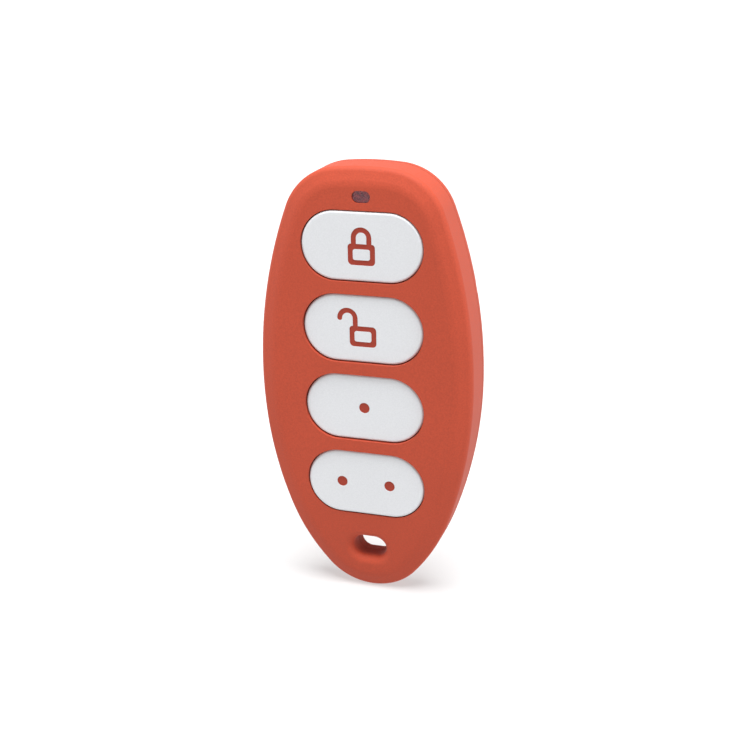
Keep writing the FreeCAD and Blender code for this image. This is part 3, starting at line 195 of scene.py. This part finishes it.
def speckled(name, colour, spread, grain, roughness, roughness_spread, depth, **values):
    """A moulded plastic with fine grain in colour, roughness and relief, and a broad faint unevenness.

    The grain's width and depth are in millimetres, and spread is the share by which the colour varies.
    """
    shader = Shader(name)
    fine = shader.noise(grain, detail=3.0)
    broad = shader.noise(BROAD_WIDTH, detail=1.0)
    low = tuple(channel * (1 - spread) for channel in colour)
    high = tuple(channel * (1 + spread) for channel in colour)
    shade = shader.node("ShaderNodeVectorMath", operation="SCALE")
    shader.link(shader.ramp(fine, low, high), shade.inputs[0])
    shader.link(shader.grey_ramp(broad, low=1 - spread / 2, high=1.0), shade.inputs["Scale"])
    shader.colour(shade.outputs["Vector"])
    shader.roughness(shader.grey_ramp(fine, roughness - roughness_spread, roughness + roughness_spread))
    shader.bump((broad, depth * BROAD_DEPTH), (fine, depth))
    shader.set(**values)
    return shader.material


def brushed(name, colour, roughness, along=(1.0, 1.0, 1.0)):
    """A metal with fine lines, which run along the axis whose factor is small, and with faint stains."""
    shader = Shader(name)
    stretched = shader.node("ShaderNodeMapping")
    stretched.inputs["Scale"].default_value = along
    shader.link(shader.place, stretched.inputs["Vector"])
    lines = shader.noise(LINE_WIDTH, place=stretched.outputs["Vector"])
    stain = shader.noise(STAIN_WIDTH, detail=3.0)
    stained = tuple(channel * STAIN_SHADE for channel in colour)
    shader.colour(shader.ramp(stain, stained, colour, start=0.35, end=0.65))
    shader.roughness(shader.grey_ramp(lines, roughness - LINE_ROUGHNESS, roughness + LINE_ROUGHNESS))
    shader.bump((lines, LINE_DEPTH))
    shader.set(Metallic=1.0)
    return shader.material


# Materials

def make_plastics():
    """The grained plastics and the small ceramic parts, by the record's slot name."""
    return {
        "housing_orange": speckled(
            "soft_touch_orange", (0.475, 0.068, 0.032), spread=0.09, grain=0.25,
            roughness=0.68, roughness_spread=0.06, depth=0.016,
            Specular_IOR_Level=0.25, Sheen_Weight=0.05, Sheen_Roughness=0.4,
        ),
        "key_white": speckled(
            "grained_white", (0.705, 0.715, 0.735), spread=0.035, grain=0.18,
            roughness=0.48, roughness_spread=0.06, depth=0.012, Specular_IOR_Level=0.4,
        ),
        "key_orange": speckled(
            "moulded_orange", (0.355, 0.052, 0.032), spread=0.06, grain=0.2,
            roughness=0.6, roughness_spread=0.05, depth=0.008, Specular_IOR_Level=0.15,
        ),
        "switch_black": speckled(
            "switch_black", (0.018, 0.018, 0.02), spread=0.2, grain=0.12,
            roughness=0.5, roughness_spread=0.08, depth=0.006,
        ),
        "stem_plastic": speckled(
            "stem_plastic", (0.60, 0.57, 0.47), spread=0.04, grain=0.2,
            roughness=0.4, roughness_spread=0.05, depth=0.004,
        ),
        "chip_black": speckled(
            "chip_black", (0.02, 0.02, 0.022), spread=0.25, grain=0.07,
            roughness=0.55, roughness_spread=0.08, depth=0.008,
        ),
        "resistor_black": speckled(
            "resistor_black", (0.03, 0.03, 0.035), spread=0.3, grain=0.1,
            roughness=0.4, roughness_spread=0.08, depth=0.004,
        ),
        "capacitor_tan": speckled(
            "capacitor_tan", (0.34, 0.22, 0.12), spread=0.12, grain=0.1,
            roughness=0.35, roughness_spread=0.06, depth=0.004,
        ),
        "clear_lens": speckled(
            "clear_lens", (0.05, 0.045, 0.045), spread=0.05, grain=0.3,
            roughness=0.25, roughness_spread=0.05, depth=0.003,
        ),
    }


def make_metals():
    """The metals, by the record's slot name."""
    return {
        "spring_steel": brushed("spring_steel", (0.62, 0.62, 0.63), roughness=0.28, along=(1.0, 1.0, 0.06)),
        "tinned_metal": brushed("tinned_metal", (0.70, 0.70, 0.68), roughness=0.32),
        "crystal_can": brushed("crystal_can", (0.66, 0.65, 0.60), roughness=0.3, along=(0.06, 1.0, 1.0)),
        "antenna_metal": brushed("antenna_metal", (0.72, 0.58, 0.32), roughness=0.34),
        "cell_steel": brushed("cell_steel", (0.66, 0.66, 0.67), roughness=0.24, along=(0.05, 1.0, 1.0)),
        "gold_pad": brushed("gold_pad", (0.80, 0.60, 0.26), roughness=0.3),
        "screw_steel": brushed("screw_steel", (0.52, 0.53, 0.55), roughness=0.3),
    }


def board_material():
    """Green solder mask over a faint glass weave, with a lacquer gloss."""
    hollow_green, thread_green = (0.010, 0.085, 0.035), (0.016, 0.13, 0.055)
    threads_scale, threads_depth = 0.55, 0.006
    lacquer_patch_width = 0.8
    shader = Shader("solder_mask")
    weave = shader.node("ShaderNodeMath", operation="MULTIPLY")
    for direction, factor in zip("XZ", weave.inputs):
        threads = shader.node("ShaderNodeTexWave", bands_direction=direction)
        threads.inputs["Scale"].default_value = threads_scale
        shader.link(shader.place, threads.inputs["Vector"])
        shader.link(threads.outputs["Fac"], factor)
    shader.colour(shader.ramp(weave.outputs["Value"], hollow_green, thread_green, start=0.0, end=1.0))
    shader.roughness(shader.grey_ramp(shader.noise(lacquer_patch_width), low=0.22, high=0.34))
    shader.bump((weave.outputs["Value"], threads_depth))
    return shader.material


def window_material():
    """Smoky plastic that the light behind it can be seen through."""
    dark_smoke, pale_smoke = (0.22, 0.05, 0.075), (0.44, 0.085, 0.11)
    cloud_width = 0.6
    shader = Shader("smoky_window")
    cloud = shader.noise(cloud_width)
    shader.colour(shader.ramp(cloud, dark_smoke, pale_smoke, start=0.4, end=0.6))
    shader.roughness(shader.grey_ramp(cloud, low=0.16, high=0.24))
    shader.set(Transmission_Weight=0.55, IOR=1.49)
    return shader.material


def dress_nodes():
    """Gives every piece the material of its slot."""
    materials = {
        **make_plastics(),
        **make_metals(),
        "board_green": board_material(),
        "smoky_window": window_material(),
    }
    slots = {part["node"]: part["material_slot"] for part in frame["record"]["subparts"]}
    for name, item in frame["nodes"].items():
        item.data.materials.clear()
        item.data.materials.append(materials[slots[name]])


def make_flexing_domes():
    """Copies of the snap domes, one for each key, each with a mesh of its own and attached to the housing,
    in place of the hidden originals.
    """
    for key in KEYS:
        stiff = frame["nodes"][f"{key}_switch_dome"]
        dome = bpy.data.objects.new(f"{key}_flexing_dome", stiff.data.copy())
        bpy.context.scene.collection.objects.link(dome)
        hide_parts(f"{key}_switch_dome")
        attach(dome, "housing")
        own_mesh(dome)


# Stage, light and camera

def value_when_seen(tree, otherwise, seen):
    """One value where it is seen, also in or through glossy plastic, and another where it lights things."""
    path = tree.nodes.new("ShaderNodeLightPath")
    looked_at = path.outputs["Is Camera Ray"]
    for ray in ("Is Glossy Ray", "Is Transmission Ray"):
        either = tree.nodes.new("ShaderNodeMath")
        either.operation = "MAXIMUM"
        tree.links.new(looked_at, either.inputs[0])
        tree.links.new(path.outputs[ray], either.inputs[1])
        looked_at = either.outputs["Value"]
    value = tree.nodes.new("ShaderNodeMapRange")
    value.inputs["To Min"].default_value = otherwise
    value.inputs["To Max"].default_value = seen
    tree.links.new(looked_at, value.inputs["Value"])
    return value.outputs["Result"]


def make_floor():
    """A plain white floor that keeps the object's shadow."""
    half = FLOOR_WIDTH / 2
    corners = [(-half, -half, 0), (half, -half, 0), (half, half, 0), (-half, half, 0)]
    mesh = bpy.data.meshes.new("floor")
    mesh.from_pydata(corners, [], [(0, 1, 2, 3)])
    floor = bpy.data.objects.new("floor", mesh)
    floor.location.z = cad_low.z
    bpy.context.scene.collection.objects.link(floor)
    shader = Shader("pale_floor")
    shader.set(Roughness=0.9, Specular_IOR_Level=0.0, Emission_Color=(1.0,) * 4)
    shader.colour(value_when_seen(shader.tree, FLOOR_COLOUR, FLOOR_SEEN_COLOUR))
    glow = value_when_seen(shader.tree, FLOOR_GLOW, FLOOR_SEEN_GLOW)
    shader.link(glow, shader.principled.inputs["Emission Strength"])
    mesh.materials.append(shader.material)


def make_world():
    """An even pale surround: white where it is seen or mirrored, softer where it lights the object."""
    world = bpy.data.worlds.new("surround")
    bpy.context.scene.world = world
    world.use_nodes = True
    background = world.node_tree.nodes["Background"]
    background.inputs["Color"].default_value = (1.0,) * 4
    strength = value_when_seen(world.node_tree, AMBIENT, 1.0)
    world.node_tree.links.new(strength, background.inputs["Strength"])


def add_light(name, data, away):
    """Places a light away from the object's middle, turned to it."""
    item = bpy.data.objects.new(name, data)
    item.location = OBJECT_MIDDLE + away
    item.rotation_euler = away.to_track_quat("Z", "Y").to_euler()
    bpy.context.scene.collection.objects.link(item)


def make_lamps():
    """Broad soft light from overhead, and a soft square lamp at each side."""
    overhead = bpy.data.lights.new("overhead_light", "SUN")
    overhead.angle = OVERHEAD["spread"]
    overhead.energy = OVERHEAD["power"]
    add_light("overhead_light", overhead, Vector(OVERHEAD["away"]))
    for name, lamp in LAMPS.items():
        data = bpy.data.lights.new(name, "AREA")
        data.shape = "SQUARE"
        data.size = lamp["size"]
        data.energy = lamp["power"]
        add_light(name, data, Vector(lamp["away"]))


def make_camera():
    """The photograph's viewpoint: turned, raised and rolled about the view's centre."""
    backward = Vector((
        math.sin(AZIMUTH) * math.cos(ELEVATION),
        -math.cos(AZIMUTH) * math.cos(ELEVATION),
        math.sin(ELEVATION),
    ))
    level_right = Vector((math.cos(AZIMUTH), math.sin(AZIMUTH), 0))
    level_up = backward.cross(level_right)
    right = level_right * math.cos(ROLL) + level_up * math.sin(ROLL)
    up = level_up * math.cos(ROLL) - level_right * math.sin(ROLL)
    place = VIEW_CENTRE + backward * DISTANCE - right * CENTRE_ASIDE - up * CENTRE_ALOFT
    data = bpy.data.cameras.new("camera")
    data.sensor_width = SENSOR_WIDTH_MM
    data.lens = FOCAL_PX * SENSOR_WIDTH_MM / IMAGE_WIDTH_PX
    data.clip_start = CLIP_START
    camera = bpy.data.objects.new("camera", data)
    turn = Matrix((right, up, backward)).transposed().to_4x4()
    camera.matrix_world = Matrix.Translation(place) @ turn
    bpy.context.scene.collection.objects.link(camera)
    bpy.context.scene.camera = camera


bpy.context.scene.view_settings.view_transform = "Standard"
make_camera()
make_world()
make_lamps()
make_floor()
dress_nodes()
make_flexing_domes()
